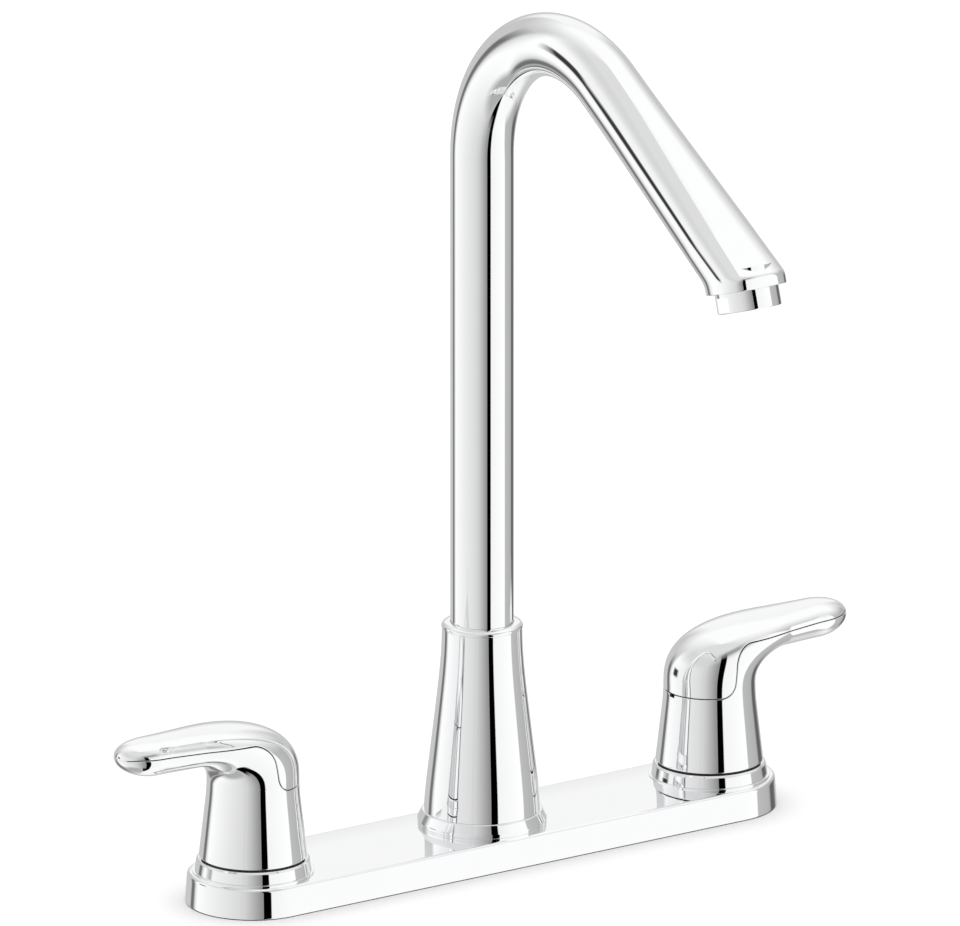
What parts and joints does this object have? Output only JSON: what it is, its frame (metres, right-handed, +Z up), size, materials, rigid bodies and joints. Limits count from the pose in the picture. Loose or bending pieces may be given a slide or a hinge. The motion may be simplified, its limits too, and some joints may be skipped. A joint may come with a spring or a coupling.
{
  "type": "kitchen faucet",
  "caption": "Deck mounted kitchen faucet: oblong base plate, lever handles on turned pedestals, tapered centre column and a high swivel gooseneck spout.",
  "frame": {"origin": "centre of the gasket's underside, on the deck and on the spout's turning axis", "axes": "+Z up; +X towards the cold handle, on the right of a person at the sink; -Y towards that person, along the spout"},
  "size_m": [0.322, 0.2044, 0.3886],
  "materials": {
    "chrome": "polished chrome plate",
    "brass": "machined",
    "steel": "plain stainless",
    "black_plastic": "smooth",
    "white_plastic": "moulded",
    "ceramic": "lapped",
    "rubber": "smooth",
    "foam": "closed-cell foam"
  },
  "bodies": {
    "base": {"deck_plate": "chrome", "deck_gasket": "foam", "spout_hub": "brass", "spout_nut": "brass", "slip_washer": "white_plastic", "spout_base_ring": "chrome", "spout_sleeve": "chrome", "spout_bearing": "white_plastic", "spout_collar": "chrome", "escutcheon_ring_hot": "chrome", "glide_ring_hot": "black_plastic", "valve_body_hot": "brass", "cartridge_housing_hot": "white_plastic", "seat_seal_hot": "rubber", "fixed_disc_hot": "ceramic", "stem_seal_hot": "rubber", "bonnet_nut_hot": "brass", "crossover_tube_hot": "brass", "mounting_washer_hot": "steel", "mounting_nut_hot": "white_plastic", "escutcheon_ring_cold": "chrome", "glide_ring_cold": "black_plastic", "valve_body_cold": "brass", "cartridge_housing_cold": "white_plastic", "seat_seal_cold": "rubber", "fixed_disc_cold": "ceramic", "stem_seal_cold": "rubber", "bonnet_nut_cold": "brass", "crossover_tube_cold": "brass", "mounting_washer_cold": "steel", "mounting_nut_cold": "white_plastic"},
    "spout": {"spout_tube": "chrome", "spout_stem": "brass", "spout_seals": "rubber", "aerator_housing": "chrome", "aerator_core": "white_plastic", "aerator_screen": "steel", "aerator_washer": "rubber"},
    "hot_handle": {"handle_body_hot": "chrome", "handle_cap_hot": "chrome", "handle_screw_hot": "steel", "valve_stem_hot": "brass", "moving_disc_hot": "ceramic"},
    "cold_handle": {"handle_body_cold": "chrome", "handle_cap_cold": "chrome", "handle_screw_cold": "steel", "valve_stem_cold": "brass", "moving_disc_cold": "ceramic"}
  },
  "joints": [
    {"name": "spout_swivel", "type": "hinge", "parent": "base", "child": "spout", "pos_m": [0, 0, 0.03], "axis": [0, 0, 1], "continuous": true},
    {"name": "hot_turn", "type": "hinge", "parent": "base", "child": "hot_handle", "pos_m": [-0.1016, 0, 0.03], "axis": [0, 0, 1], "range_deg": [0, 90]},
    {"name": "cold_turn", "type": "hinge", "parent": "base", "child": "cold_handle", "pos_m": [0.1016, 0, 0.03], "axis": [0, 0, -1], "range_deg": [0, 90]}
  ]
}
